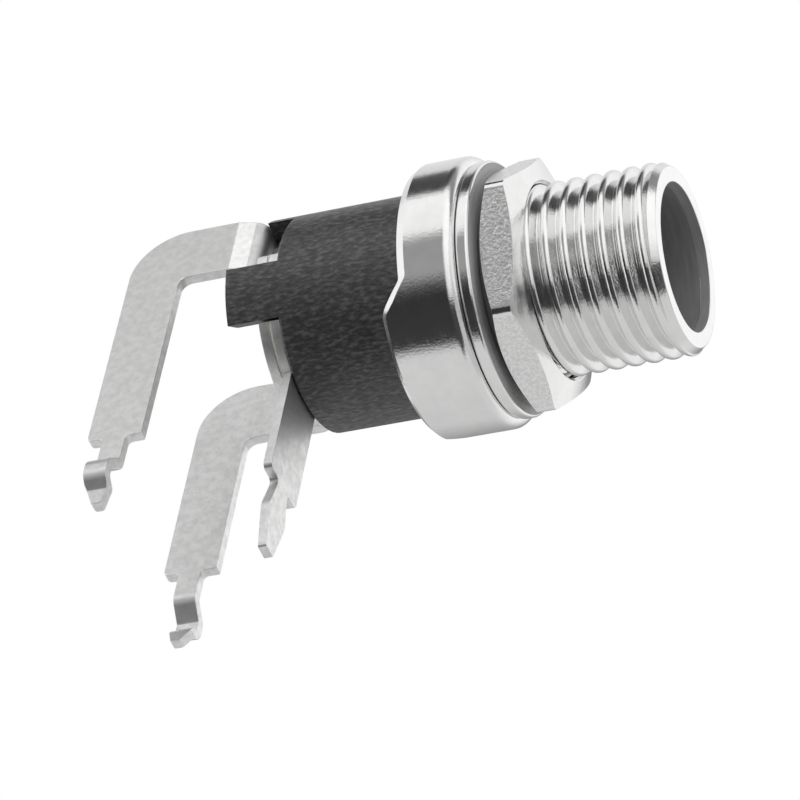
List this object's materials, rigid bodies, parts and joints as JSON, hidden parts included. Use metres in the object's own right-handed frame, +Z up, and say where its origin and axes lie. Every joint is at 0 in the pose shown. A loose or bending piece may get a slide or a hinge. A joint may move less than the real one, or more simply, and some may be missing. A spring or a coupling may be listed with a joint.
{
  "type": "dc power jack",
  "caption": "Panel and board dc power jack with a threaded bushing, nut and washer, moulded body and three sheet terminals.",
  "frame": {"origin": "centre of the socket mouth, on the axis of the threaded bushing", "axes": "+X runs out of the socket along its axis, +Z is up with the terminal pins pointing down, +Y is left as seen from behind the jack, looking out of the socket"},
  "size_m": [0.0228, 0.0112, 0.0188],
  "materials": {
    "nickel_plate": "bright nickel plate over turned metal",
    "tin_plate": "satin tin plate over stamped sheet",
    "black_plastic": "black moulded plastic with a soft sheen",
    "spring_bronze": "plain spring bronze sheet",
    "insulating_sheet": "pale insulating film and bush"
  },
  "bodies": {
    "jack": {"threaded_bushing": "nickel_plate", "insulator_body": "black_plastic", "centre_pin": "nickel_plate", "middle_terminal": "tin_plate", "insulating_foil": "insulating_sheet", "far_terminal": "tin_plate", "insulating_bush": "insulating_sheet", "near_terminal": "tin_plate"},
    "washer": {"flat_washer": "nickel_plate"},
    "nut": {"hex_nut": "nickel_plate"},
    "spring": {"sleeve_spring": "spring_bronze"}
  },
  "joints": [
    {"name": "washer_slide", "type": "slide", "parent": "jack", "child": "washer", "axis": [1, 0, 0], "range_m": [0, 0.00536]},
    {"name": "nut_turn", "type": "hinge", "parent": "washer", "child": "nut", "pos_m": [0, 0, 0], "axis": [1, 0, 0], "range_deg": [0, 2431]},
    {"name": "spring_bend", "type": "hinge", "parent": "jack", "child": "spring", "pos_m": [-0.01615, 0.0033, 0], "axis": [0, 0, 1], "range_deg": [0, 4], "stiffness_Nm_per_rad": 0.12}
  ],
  "couplings": [
    {"joint": "nut_turn", "follows": "washer_slide", "rad_per_m": 7915.8}
  ]
}
